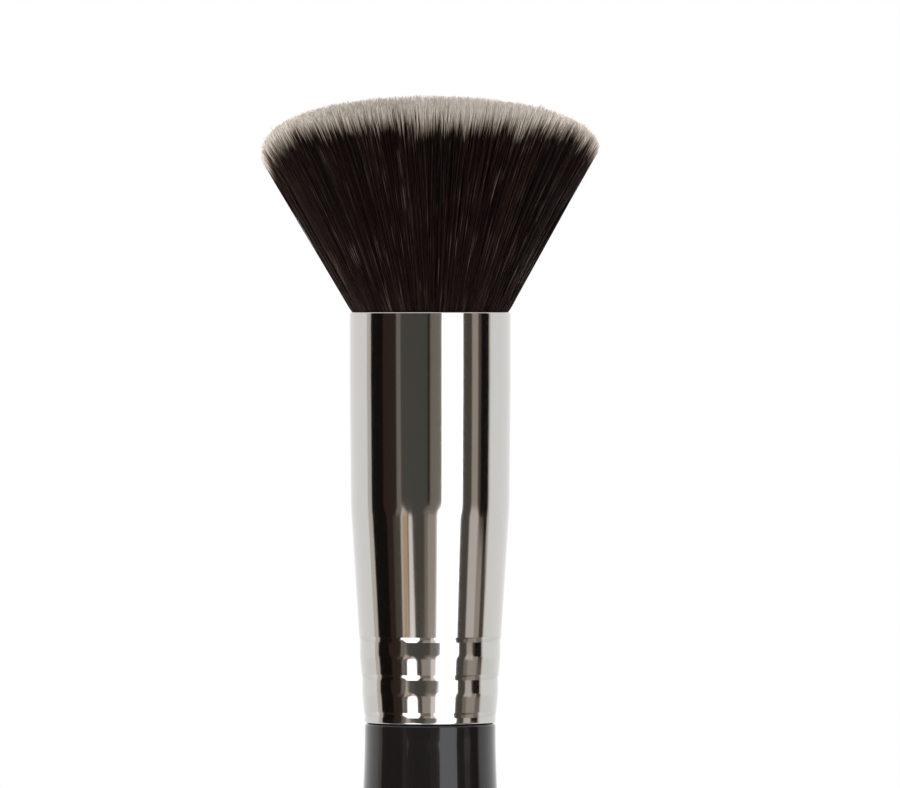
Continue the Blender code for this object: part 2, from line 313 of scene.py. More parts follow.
@dataclass(frozen=True)
class DyedFilament:
    """Tapered polyester filament, dyed dark brown and left undyed at its tip.

    It gives the eye fine dark streaks that end in a soft, uneven band of pale greige, which
    turns to tan where the dye begins. Its map runs along each strand from its tip, and holds a
    strip for each shade.
    """

    name: str = "dyed_polyester_filament"
    map_name: str = "strand_map"
    strips: int = 64
    reach: float = 26.0 * MM  # length of strand that the map holds
    lead: float = 1.0 * MM  # part of the map before the mean strand's tip
    pale_length: float = 1.10 * MM
    pale_spread: float = 1.5 * MM  # between the shortest and the longest pale ends
    fade: float = 2.3 * MM  # length over which the dye sets in
    warm_from: float = 0.1 * MM  # from the tip to where the pale end starts to yellow
    warm_to: float = 1.6 * MM
    pale: str = "#DAD2C9"
    grey: str = "#BAB1A8"
    tan: str = "#C6B4A4"
    dark: str = "#0F0705"
    brown: str = "#2D1C16"
    brown_power: float = 2.2  # keeps the brown strands few
    # painted highlight: a lighter tone laid in patches along the dark strands, standing in for
    # glints of light
    painted_glint: str = "#554A42"
    glint_length: float = 6.5 * MM
    glint_from: float = 0.56  # part of the glints' pattern in which they brighten
    glint_to: float = 0.78
    strip_distance: float = 7.31  # between strips in that pattern, which keeps them unlike
    roughness: float = 0.42

    def dyed_body(
        self,
        tree: bpy.types.NodeTree,
        strip: bpy.types.Node,
        along: bpy.types.NodeSocket,
        brown_share: bpy.types.NodeSocket,
    ) -> bpy.types.Node:
        """Colours the dyed part near black, with a few brown strands and scattered painted glints:
        lighter patches that stand in for highlights.

        Args:
            tree: tree of the material.
            strip: number of the map's strip.
            along: place along the map.
            brown_share: how brown the strip's strands may be.

        Returns:
            The node that gives the colour.
        """
        few = {0: brown_share, 1: self.brown_power}
        few_brown = add_node(tree, "ShaderNodeMath", {"operation": "POWER"}, few)
        apart = add_node(tree, "ShaderNodeMath", MULTIPLY, {0: strip, 1: self.strip_distance})
        lengths = self.reach / self.glint_length
        down = add_node(tree, "ShaderNodeMath", MULTIPLY, {0: along, 1: lengths})
        on_strip = add_node(tree, "ShaderNodeCombineXYZ", values={"X": apart, "Y": down})
        # Painted highlight: lighter patches along each strip, standing in for glints of light on
        # the strands.
        patches = add_node(tree, "ShaderNodeTexNoise", values={"Vector": on_strip, "Scale": 1.0})
        shining = {"Value": patches, "From Min": self.glint_from, "From Max": self.glint_to}
        painted_glint_share = add_node(tree, "ShaderNodeMapRange", SMOOTH, shining)
        body = linear(self.dark)
        for pattern, tone in ((few_brown, self.brown), (painted_glint_share, self.painted_glint)):
            values = {"Factor": pattern, "A": body, "B": linear(tone)}
            body = add_node(tree, "ShaderNodeMix", COLOURS, values)
        return body

    def undyed_tip(
        self, tree: bpy.types.NodeTree, from_tip: bpy.types.Node, grey_share: bpy.types.NodeSocket
    ) -> bpy.types.Node:
        """Colours the undyed part pale or grey, and tan towards the dye.

        Args:
            tree: tree of the material.
            from_tip: distance from the strand's tip.
            grey_share: how grey the strip's strands are.

        Returns:
            The node that gives the colour.
        """
        warming = {"Value": from_tip, "From Min": self.warm_from, "From Max": self.warm_to}
        yellowing = add_node(tree, "ShaderNodeMapRange", SMOOTH, warming)
        tip = linear(self.pale)
        for pattern, tone in ((grey_share, self.grey), (yellowing, self.tan)):
            values = {"Factor": pattern, "A": tip, "B": linear(tone)}
            tip = add_node(tree, "ShaderNodeMix", COLOURS, values)
        return tip

    def material(self) -> bpy.types.Material:
        """Builds the filament's material.

        Returns:
            The material.
        """
        material, tree, shader = blank_material(self.name)
        on_map = add_node(tree, "ShaderNodeUVMap", {"uv_map": self.map_name})
        place = add_node(tree, "ShaderNodeSeparateXYZ", values={"Vector": on_map})
        aside, along, _ = place.outputs
        scaled = add_node(tree, "ShaderNodeMath", MULTIPLY, {0: aside, 1: float(self.strips)})
        strip = add_node(tree, "ShaderNodeMath", {"operation": "FLOOR"}, {0: scaled})
        shade = add_node(tree, "ShaderNodeTexWhiteNoise", {"noise_dimensions": "1D"}, {"W": strip})
        shades = {"Color": shade.outputs["Color"]}
        length_share, brown_share, grey_share = add_node(
            tree, "ShaderNodeSeparateColor", values=shades
        ).outputs
        measured = {
            "Value": along,
            "From Min": 1.0,
            "From Max": 0.0,
            "To Min": -self.lead,
            "To Max": self.reach - self.lead,
        }
        from_tip = add_node(tree, "ShaderNodeMapRange", {"clamp": False}, measured)
        spread = {
            "Value": length_share,
            "To Min": self.pale_length - 0.5 * self.pale_spread,
            "To Max": self.pale_length + 0.5 * self.pale_spread,
        }
        edge = add_node(tree, "ShaderNodeMapRange", values=spread)
        past = add_node(tree, "ShaderNodeMath", SUBTRACT, {0: from_tip, 1: edge})
        fading = {"Value": past, "From Min": -0.5 * self.fade, "From Max": 0.5 * self.fade}
        coloured = {
            "Factor": add_node(tree, "ShaderNodeMapRange", SMOOTH, fading),
            "A": self.undyed_tip(tree, from_tip, grey_share),
            "B": self.dyed_body(tree, strip, along, brown_share),
        }
        values = {
            "Base Color": add_node(tree, "ShaderNodeMix", COLOURS, coloured),
            "Roughness": self.roughness,
            "Specular IOR Level": 0.04,
            "IOR": 1.57,
        }
        connect(shader, values)
        return material


@dataclass(frozen=True)
class PackedFilament:
    """The same filament where it is packed too close to be seen strand by strand.

    It gives the eye a near black with faint brown streaks along the brush.
    """

    name: str = "packed_dyed_filament"
    colours: tuple[str, str] = ("#0D0807", "#1C1310")
    streak: float = 0.15 * MM
    density: tuple[float, float, float] = (1.0, 1.0, 0.05)

    def material(self) -> bpy.types.Material:
        """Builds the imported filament's material.

        Returns:
            The material.
        """
        material, _, shader = blank_material(self.name)
        mottled(shader, self.colours, self.streak, 1.0, self.density)
        connect(shader, {"Roughness": 0.7, "Specular IOR Level": 0.1})
        return material


@dataclass(frozen=True)
class CastResin:
    """Resin that was poured or wiped in and has set.

    It gives the eye an amber, straw or brown tone with faint clouds and a smooth skin.
    """

    name: str
    colours: tuple[str, str]
    roughness: float
    cloud_size: float = 1.2 * MM

    def material(self) -> bpy.types.Material:
        """Builds the resin's material.

        Returns:
            The material.
        """
        material, _, shader = blank_material(self.name)
        mottled(shader, self.colours, self.cloud_size, 3.0)
        connect(shader, {"Roughness": self.roughness, "IOR": 1.55})
        return material


@dataclass(frozen=True)
class WaxedThread:
    """Twisted polyester thread with wax on it.

    It gives the eye a dull cream cord with darker flecks of wax.
    """

    name: str = "waxed_polyester_thread"
    colours: tuple[str, str] = ("#D8CDB8", "#B7A98F")
    fleck_size: float = 0.3 * MM

    def material(self) -> bpy.types.Material:
        """Builds the thread's material.

        Returns:
            The material.
        """
        material, _, shader = blank_material(self.name)
        mottled(shader, self.colours, self.fleck_size, 2.0)
        connect(shader, {"Roughness": 0.7})
        return material


# Meshes


def link_piece(name: str, mesh: bpy.types.Mesh) -> bpy.types.Object:
    """Puts a mesh into the scene as an object at the origin.

    Args:
        name: name of the piece.
        mesh: its mesh.

    Returns:
        The piece.
    """
    piece = bpy.data.objects.new(name, mesh)
    bpy.context.scene.collection.objects.link(piece)
    return piece


def formed(name: str, mesh: bmesh.types.BMesh) -> bpy.types.Object:
    """Turns a shape that is still being edited into a piece.

    Args:
        name: name of the piece.
        mesh: its shape, which is used up.

    Returns:
        The piece, at the origin.
    """
    data = bpy.data.meshes.new(name)
    mesh.to_mesh(data)
    mesh.free()
    return link_piece(name, data)


def finish_piece(
    piece: bpy.types.Object, node: Node, material: bpy.types.Material | None = None
) -> None:
    """Dresses a finished piece and fixes it to the brush.

    Args:
        piece: object in its place.
        node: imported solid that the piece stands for.
        material: its material, where its tree hasn't dressed it.
    """
    if material is not None:
        piece.data.materials.append(material)
    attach(piece, "root")
    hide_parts(node.value)
    piece.data.calc_loop_triangles()
    log.info("%s: %d triangles", piece.name, len(piece.data.loop_triangles))


def skinned(rings: Sequence[Sequence[Sequence[float]]], closed: bool = False) -> bmesh.types.BMesh:
    """Lays a closed skin over rings of points.

    Args:
        rings: rings of points in order, all of one length but for single points at the ends.
        closed: whether the last ring joins the first, as in a tube's wall.

    Returns:
        The skin, with its faces pointing out.
    """
    mesh = bmesh.new()
    rows = [[mesh.verts.new(point) for point in ring] for ring in rings]
    sides = max(len(row) for row in rows)
    followers = [*rows[1:], rows[0]] if closed else rows[1:]
    for lower, upper in zip(rows, followers):
        for side in range(sides):
            after = (side + 1) % sides
            corners = [lower[side % len(lower)], lower[after % len(lower)]]
            corners += [upper[after % len(upper)], upper[side % len(upper)]]
            mesh.faces.new(list(dict.fromkeys(corners)))
    bmesh.ops.recalc_face_normals(mesh, faces=mesh.faces)
    return mesh


@dataclass(frozen=True)
class Corner:
    """A corner of a turned outline, rounded by a radius, or sharp where that is 0."""

    radius: float
    height: float
    rounding: float = 0.0

    def rounded(self, back: np.ndarray, ahead: np.ndarray, turn: float) -> list[np.ndarray]:
        """Rounds the corner.

        Args:
            back: place of the corner before it.
            ahead: place of the corner after it.
            turn: largest turn in one step, in radians.

        Returns:
            Points of the rounding's arc.
        """
        here = np.array((self.radius, self.height))
        back, ahead = back - here, ahead - here
        back, ahead = back / np.linalg.norm(back), ahead / np.linalg.norm(ahead)
        between = math.acos(float(np.clip(back @ ahead, -1.0, 1.0)))
        reach = self.rounding / math.tan(0.5 * between)
        middle = (back + ahead) / np.linalg.norm(back + ahead)
        centre = here + middle * self.rounding / math.sin(0.5 * between)
        first, last = here + back * reach - centre, here + ahead * reach - centre
        swept = math.pi - between
        steps = max(1, math.ceil(swept / turn))
        arc = []
        for step in range(steps + 1):
            share = step / steps
            low, high = math.sin((1.0 - share) * swept), math.sin(share * swept)
            arc.append(centre + (first * low + last * high) / math.sin(swept))
        return arc


@dataclass(frozen=True)
class Cut:
    """How finely a piece is turned, with its angles in degrees."""

    segments: int  # sides of the piece
    longest: float  # longest straight step along the outline, which keeps reflections true
    turn: float  # largest turn in one step of a rounding
    sharp: float  # angle from which an edge stays sharp


def traced(corners: Sequence[Corner], closed: bool, cut: Cut) -> list[np.ndarray]:
    """Follows an outline round its corners.

    Args:
        corners: corners in order.
        closed: whether the last corner joins the first.
        cut: how finely the outline is followed.

    Returns:
        Points of (radius, height).
    """
    places = [np.array((corner.radius, corner.height)) for corner in corners]
    bends = []
    for index, corner in enumerate(corners):
        at_end = index in (0, len(corners) - 1)
        if corner.rounding == 0.0 or (at_end and not closed):
            bends.append([places[index]])
            continue
        ahead = places[(index + 1) % len(places)]
        bends.append(corner.rounded(places[index - 1], ahead, math.radians(cut.turn)))
    points: list[np.ndarray] = []
    for bend in [*bends, bends[0][:1]] if closed else bends:
        if points:
            start, gap = points[-1], bend[0] - points[-1]
            pieces = max(1, math.ceil(float(np.linalg.norm(gap)) / cut.longest))
            points += [start + gap * step / pieces for step in range(1, pieces)]
        points += bend
    return points[:-1] if closed else points


def turned_piece(
    name: str, corners: Sequence[Corner], cut: Cut, closed: bool = False
) -> bpy.types.Object:
    """Spins an outline round the brush's axis.

    Args:
        name: name of the piece.
        corners: corners of the outline. An open one starts and ends on the axis.
        cut: how finely the piece is turned.
        closed: whether the outline's last corner joins the first, as in a tube's wall.

    Returns:
        The piece.
    """
    angles = 2.0 * math.pi * np.arange(cut.segments) / cut.segments
    rings = []
    for radius, height in traced(corners, closed, cut):
        around = angles if radius > 0.0 else angles[:1]
        ring = [(radius * math.cos(angle), radius * math.sin(angle), height) for angle in around]
        rings.append(ring)
    piece = formed(name, skinned(rings, closed))
    piece.data.shade_smooth()
    piece.data.set_sharp_from_angle(angle=math.radians(cut.sharp))
    return piece


# Geometry Nodes


def new_tree(
    name: str, sizes: dict[str, object]
) -> tuple[bpy.types.NodeTree, Mapping[str, bpy.types.NodeSocket]]:
    """Starts a Geometry Nodes tree.

    Args:
        name: name of the tree.
        sizes: name and value of each input after the geometry: numbers, and one material.

    Returns:
        The tree and its inputs' sockets by name.
    """
    tree = bpy.data.node_groups.new(name, "GeometryNodeTree")
    for way in ("INPUT", "OUTPUT"):
        tree.interface.new_socket("Geometry", in_out=way, socket_type="NodeSocketGeometry")
    kinds = {float: "NodeSocketFloat", int: "NodeSocketInt"}
    for label, size in sizes.items():
        kind = kinds.get(type(size), "NodeSocketMaterial")
        tree.interface.new_socket(label, in_out="INPUT", socket_type=kind)
    return tree, tree.nodes.new("NodeGroupInput").outputs


def close_tree(
    tree: bpy.types.NodeTree, shape: bpy.types.Node, finish: bpy.types.NodeSocket
) -> None:
    """Ends a tree with real geometry in its material.

    Args:
        tree: Geometry Nodes tree.
        shape: node of the finished shape.
        finish: input that holds the material.
    """
    real = add_node(tree, "GeometryNodeRealizeInstances", values={"Geometry": shape})
    values = {"Geometry": real, "Material": finish}
    dressed = add_node(tree, "GeometryNodeSetMaterial", values=values)
    add_node(tree, "NodeGroupOutput", values={"Geometry": dressed})


def grown(
    base: bpy.types.Object, tree: bpy.types.NodeTree, sizes: dict[str, object]
) -> bpy.types.Object:
    """Runs a tree on an object, and keeps the result as a plain mesh.

    Args:
        base: object that carries the tree's input, which it gives way to.
        tree: Geometry Nodes tree.
        sizes: value of each input, by its name.

    Returns:
        The new piece, named as the base was.
    """
    modifier = base.modifiers.new(tree.name, "NODES")
    modifier.node_group = tree
    for item in tree.interface.items_tree:
        if item.in_out == "INPUT" and item.name in sizes:
            modifier[item.identifier] = sizes[item.name]
    bpy.context.view_layer.update()
    evaluated = base.evaluated_get(bpy.context.evaluated_depsgraph_get())
    mesh = bpy.data.meshes.new_from_object(evaluated)
    name, old = base.name, base.data
    bpy.data.objects.remove(base)
    bpy.data.meshes.remove(old)
    mesh.name = name
    return link_piece(name, mesh)


# Sub-assemblies


@dataclass
class Handle:
    """Turned wooden handle: a flat butt, a slim taper, a belly and a shoulder."""

    length: float = 108.0 * MM
    shoulder_gap: float = 0.27 * MM  # the lacquered shoulder all but meets the ferrule
    butt_radius: float = 4.8 * MM
    butt_edge: float = 1.3 * MM
    butt_rounding: float = 0.95 * 1.3 * MM  # all but the whole of that edge
    belly_radius: float = 7.1 * MM
    belly_height: float = 91.0 * MM
    shoulder_radius: float = 6.54 * MM
    shoulder_edge: float = 0.35 * MM
    tenon_radius: float = 5.36 * MM
    tenon_length: float = 13.5 * MM
    tenon_edge: float = 0.8 * MM
    rings: int = 90  # steps of the taper's outline
    cut: Cut = Cut(128, 2.5 * MM, 8.0, 25.0)
    finish: BlackLacquer = field(default_factory=BlackLacquer)

    def radius_at(self, height: float) -> float:
        """Finds the taper's radius.

        Args:
            height: height above the butt.

        Returns:
            The radius there.
        """
        if height < self.belly_height:
            share = (height - self.butt_edge) / (self.belly_height - self.butt_edge)
            start, end = self.butt_radius, self.belly_radius
        else:
            top = self.length - self.shoulder_edge
            share = (height - self.belly_height) / (top - self.belly_height)
            start, end = self.belly_radius, self.shoulder_radius
        return start + (end - start) * (0.5 - 0.5 * math.cos(math.pi * share))

    def build(self) -> bpy.types.Object:
        """Turns the handle.

        Returns:
            Its piece.
        """
        corners = [
            Corner(0.0, 0.0),
            Corner(self.butt_radius, 0.0, self.butt_rounding),
            Corner(self.butt_radius, self.butt_edge),
        ]
        top = self.length - self.shoulder_edge
        for ring in range(1, self.rings):
            height = self.butt_edge + (top - self.butt_edge) * ring / self.rings
            corners.append(Corner(self.radius_at(height), height))
        shoulder = self.length + self.shoulder_gap
        tenon_top = self.length + self.tenon_length
        corners += [
            Corner(self.shoulder_radius, shoulder, self.shoulder_edge),
            Corner(self.tenon_radius, shoulder),
            Corner(self.tenon_radius, tenon_top, self.tenon_edge),
            Corner(0.0, tenon_top),
        ]
        return turned_piece("handle_turned", corners, self.cut)

    def dress(self, piece: bpy.types.Object) -> None:
        """Lacquers the handle and fixes it to the brush."""
        finish_piece(piece, Node.HANDLE, self.finish.material())


@dataclass
class Ferrule:
    """Drawn and plated tube: a rolled lip, a straight barrel, a waist, a cone and crimps."""

    wall: float = 0.40 * MM
    lip_outer: float = 0.23 * MM
    lip_inner: float = 0.16 * MM
    mouth_radius: float = 8.05 * MM
    barrel_depth: float = 7.0 * MM
    barrel_rounding: float = 60.0 * MM
    waist_depth: float = 19.4 * MM
    waist_radius: float = 7.93 * MM
    waist_rounding: float = 30.0 * MM
    cone_depth: float = 32.4 * MM
    cone_radius: float = 7.10 * MM
    crimps: int = 3
    pitch: float = 3.75 * MM
    step_run: float = 0.50 * MM
    step_depth: float = 0.08 * MM
    step_hollow: float = 0.40
    step_points: int = 6
    band: float = 1.5 * MM
    band_taper: float = 0.16 * MM
    band_rounding: float = 4.0 * MM
    length: float = 41.05 * MM
    end_edge: float = 0.15 * MM
    cut: Cut = Cut(192, 0.25 * MM, 3.0, 3.9)
    finish: BrightNickel = field(default_factory=BrightNickel)

    def crimp(self, depth: float, radius: float) -> list[Corner]:
        """Lays out one rolled ring: a sharp edge, a hollow step and a straight band.

        Args:
            depth: depth of the sharp edge below the mouth.
            radius: the tube's radius there.

        Returns:
            Its corners, from the edge down.
        """
        corners = [Corner(radius, MOUTH - depth)]
        for step in range(1, self.step_points + 1):
            share = step / self.step_points
            fall = share * (1.0 + self.step_hollow * (1.0 - share))
            height = MOUTH - depth - self.step_run * share
            corners.append(Corner(radius - self.step_depth * fall, height))
        band_end = MOUTH - (depth + self.step_run + self.band)
        return [*corners, Corner(radius - self.step_depth, band_end, self.band_rounding)]

    def outer_wall(self) -> list[Corner]:
        """Lays out the tube's outside.

        Returns:
            Its corners, from the lip's crest down to the tube's end.
        """
        corners = [
            Corner(self.mouth_radius, MOUTH, self.lip_outer),
            Corner(self.mouth_radius, MOUTH - self.barrel_depth, self.barrel_rounding),
            Corner(self.waist_radius, MOUTH - self.waist_depth, self.waist_rounding),
        ]
        depth, radius = self.cone_depth, self.cone_radius
        for _ in range(self.crimps):
            corners += self.crimp(depth, radius)
            depth += self.pitch
            radius -= self.step_depth + self.band_taper
        last = corners.pop()
        return [*corners, Corner(last.radius, MOUTH - self.length, self.end_edge)]

    def build(self) -> bpy.types.Object:
        """Turns the ferrule.

        Returns:
            Its piece.
        """
        outside = self.outer_wall()
        inside = [
            Corner(corner.radius - self.wall, corner.height)
            for corner in outside[1:]
            if corner.rounding > 0.0
        ]
        lip = Corner(self.mouth_radius - self.wall, MOUTH, self.lip_inner)
        corners = [*outside, *reversed(inside), lip]
        return turned_piece("ferrule_turned", corners, self.cut, closed=True)

    def dress(self, piece: bpy.types.Object) -> None:
        """Plates the ferrule and fixes it to the brush."""
        finish_piece(piece, Node.FERRULE, self.finish.material())


@dataclass
class Bond:
    """The two resins inside the ferrule: the roots' plug and the tenon's adhesive."""

    plug: CastResin = CastResin("amber_casting_epoxy", ("#A8752E", "#8A5A22"), 0.25)
    film: CastResin = CastResin("clear_wood_adhesive", ("#CDBE94", "#B9A67A"), 0.35)

    def dress(self) -> None:
        """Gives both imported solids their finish."""
        for node, resin in ((Node.ROOT_PLUG, self.plug), (Node.TENON_ADHESIVE, self.film)):
            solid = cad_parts[node.value]
            solid.data.materials.clear()
            solid.data.materials.append(resin.material())
            log.info("%s: %s", solid.name, resin.name)


@dataclass
class BindingThread:
    """Two-ply thread wound round the roots inside the ferrule."""

    thickness: float = 0.28 * MM
    turns: float = 3.0
    twists: float = 40.0
    points: int = 480
    ply_sides: int = 6
    finish: WaxedThread = field(default_factory=WaxedThread)

    def tree(self, sizes: dict[str, object]) -> bpy.types.NodeTree:
        """Builds the tree that winds the thread from two twisted plies.

        Args:
            sizes: name and value of each of the tree's inputs.

        Returns:
            The tree.
        """
        tree, size = new_tree("wound_thread", sizes)
        wound = {
            "Resolution": self.points,
            "Rotations": size["Turns"],
            "Start Radius": size["Radius"],
            "End Radius": size["Radius"],
            "Height": size["Rise"],
        }
        winding = add_node(tree, "GeometryNodeCurveSpiral", values=wound)
        along = add_node(tree, "GeometryNodeSplineParameter")
        tangent = add_node(tree, "GeometryNodeInputTangent")
        normal = add_node(tree, "GeometryNodeInputNormal")
        turn = add_node(tree, "ShaderNodeMath", MULTIPLY, {0: along, 1: size["Twists"]})
        lift = add_node(tree, "ShaderNodeCombineXYZ", values={"Z": size["Top"]})
        ply_radius = add_node(tree, "ShaderNodeMath", MULTIPLY, {0: size["Thickness"], 1: 0.5})
        circle = {"Resolution": self.ply_sides, "Radius": ply_radius}
        section = add_node(tree, "GeometryNodeCurvePrimitiveCircle", values=circle)
        plies = add_node(tree, "GeometryNodeJoinGeometry")
        for half in range(2):
            turned = {0: turn, 1: 2.0 * math.pi, 2: math.pi * half}
            angle = add_node(tree, "ShaderNodeMath", MULTIPLY_ADD, turned)
            aimed = {"Vector": normal, "Axis": tangent, "Angle": angle}
            aside = add_node(tree, "ShaderNodeVectorRotate", values=aimed)
            shifted = {0: aside, 1: ply_radius, 2: lift}
            offset = add_node(tree, "ShaderNodeVectorMath", MULTIPLY_ADD, shifted)
            moved = {"Geometry": winding, "Offset": offset}
            line = add_node(tree, "GeometryNodeSetPosition", values=moved)
            spun = {"Curve": line, "Profile Curve": section, "Fill Caps": True}
            connect(plies, {"Geometry": add_node(tree, "GeometryNodeCurveToMesh", values=spun)})
        close_tree(tree, plies, size["Finish"])
        return tree

    def build(self) -> bpy.types.Object:
        """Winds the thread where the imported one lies.

        Returns:
            Its piece.
        """
        low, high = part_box(Node.THREAD.value)
        sizes = {
            "Radius": 0.5 * (high.x - low.x) - self.thickness,
            "Thickness": self.thickness,
            "Turns": self.turns,
            "Rise": low.z - high.z + 2.0 * self.thickness,
            "Top": high.z - self.thickness,
            "Twists": self.twists,
            "Finish": self.finish.material(),
        }
        base = link_piece("thread_wound", bpy.data.meshes.new("thread_wound"))
        return grown(base, self.tree(sizes), sizes)

    def dress(self, piece: bpy.types.Object) -> None:
        """Fixes the thread to the brush. Its tree has dressed it."""
        finish_piece(piece, Node.THREAD)


@dataclass
class PottedRoots:
    """Top of the epoxy in which the filaments' roots stand, deep in the ferrule's mouth."""

    top: float = 146.35 * MM
    thickness: float = 1.0 * MM
    radius: float = 7.46 * MM
    edge: float = 0.12 * MM
    cut: Cut = Cut(96, 1.0 * MM, 15.0, 40.0)
    finish: CastResin = CastResin(
        "filament_roots_in_epoxy", ("#3A2A1E", "#1E1511"), 0.3, cloud_size=0.2 * MM
    )

    def build(self) -> bpy.types.Object:
        """Turns the slice.

        Returns:
            Its piece.
        """
        foot = self.top - self.thickness
        corners = [
            Corner(0.0, foot),
            Corner(self.radius, foot, self.edge),
            Corner(self.radius, self.top, self.edge),
            Corner(0.0, self.top),
        ]
        return turned_piece("potted_roots", corners, self.cut)

    def dress(self, piece: bpy.types.Object) -> None:
        """Gives the slice its finish and fixes it to the brush."""
        finish_piece(piece, Node.TUFT, self.finish.material())


@dataclass(frozen=True)
class Shape:
    """Shape of the fanned head: its flaring side and its slanted, crowned face."""

    bore_radius: float = 7.56 * MM
    mouth_radius: float = 7.86 * MM
    flare: float = 0.502  # growth of the side's radius with height, just above the mouth
    sweep: float = 4.9  # half the growth of that flare, per metre
    lean: float = -0.020  # sideways drift of the head with height
    face_height: float = 17.22 * MM
    crown: float = 0.50 * MM
    slant: float = 0.249  # slope of the face, rising towards -Y
    rim_drop: float = 1.92 * MM  # how far the face rounds down at its rim
    rim_uneven: float = 0.49 * MM  # how much less towards +X, and more towards -X
    rim_power: float = 8.6
    trim: float = 0.55 * MM  # how much flatter the face is cut along its tall side
    trim_power: float = 7.0
    rounds: int = 20  # of nearing the face, whose width and level depend on each other

    def outer_radius(self, height: np.ndarray) -> np.ndarray:
        """Radius of the head's side at a height above the mouth."""
        spread = self.mouth_radius + self.flare * height + self.sweep * height**2
        return np.where(height > 0.0, spread, self.bore_radius)

    def face_level(self, share: np.ndarray, angle: np.ndarray) -> np.ndarray:
        """Height of the slanted face above the mouth.

        Args:
            share: place from the axis, at 0, to the rim, at 1.
            angle: direction from the axis, from +X.

        Returns:
            The height at which a filament there ends.
        """
        level = np.full_like(share, self.face_height)
        drop = (self.rim_drop - self.rim_uneven * np.cos(angle)) * share**self.rim_power
        tall_side = np.maximum(-np.sin(angle), 0.0)
        drop += self.trim * (share * tall_side) ** self.trim_power
        for _ in range(self.rounds):
            reach = share * self.outer_radius(level)
            rise = self.crown * (1.0 - share**2) - self.slant * reach * np.sin(angle)
            level = self.face_height + rise - drop
        return level

    def place(self, spot: np.ndarray, height: np.ndarray) -> np.ndarray:
        """Finds points of the head.

        Args:
            spot: places across the head, as shares of its radius along X and Y.
            height: height of each above the mouth.

        Returns:
            A point for each.
        """
        flat = spot * self.outer_radius(height)[:, None]
        flat[:, 0] += self.lean * np.maximum(height, 0.0)
        return np.column_stack((flat, MOUTH + height))


def across(share: np.ndarray, angle: np.ndarray) -> np.ndarray:
    """Places across the head, along X and Y, from shares of its radius and directions."""
    return share[:, None] * np.stack((np.cos(angle), np.sin(angle)), 1)


@dataclass
class PackedCore:
    """The mass of filaments inside the head, too close together to be seen one by one."""

    shape: Shape = field(default_factory=Shape)
    share: float = 0.90
    depth: float = 4.0 * MM  # from the face to the core's top
    root_depth: float = 2.98 * MM
    flare_start: float = 0.2 * MM  # height above the mouth at which the core starts to flare
    sides: int = 96
    rows: int = 12
    rings: int = 6
    finish: PackedFilament = field(default_factory=PackedFilament)

    def build(self) -> bpy.types.Object:
        """Builds the core as a closed shape that follows the head's own.

        Returns:
            Its piece.
        """
        angle = 2.0 * math.pi * np.arange(self.sides) / self.sides
        side = np.full(self.sides, self.share)
        top = self.shape.face_level(side, angle) - self.depth
        grid = [self.shape.place(across(side, angle), np.full(self.sides, -self.root_depth))]
        for row in range(self.rows + 1):
            height = self.flare_start + (top - self.flare_start) * row / self.rows
            grid.append(self.shape.place(across(side, angle), height))
        for ring in range(1, self.rings):
            share = side * (1.0 - ring / self.rings)
            level = self.shape.face_level(share, angle) - self.depth
            grid.append(self.shape.place(across(share, angle), level))
        piece = formed("packed_core", skinned([[grid[0].mean(0)], *grid, [grid[-1].mean(0)]]))
        piece.data.shade_smooth()
        return piece

    def dress(self, piece: bpy.types.Object) -> None:
        """Dyes the core and fixes it to the brush."""
        finish_piece(piece, Node.TUFT, self.finish.material())


@dataclass
class Strands:
    """Paths of a layer of filaments."""

    points: np.ndarray  # strand, point, axis
    to_tip: np.ndarray  # strand, point
    strip: np.ndarray  # strand


@dataclass(frozen=True)
class Layer:
    """A layer of filaments between two shares of the head's radius."""

    name: str
    count: int
    inner: float
    outer: float
    scatter: float  # of the tips, as a share of the head's radius
    wander: float  # how far a filament bows aside
    steps: int  # along the part that spreads
    parts: int  # pieces that the layer is split into
    held: tuple[float, ...] = ()  # heights above the mouth at which it is held straight


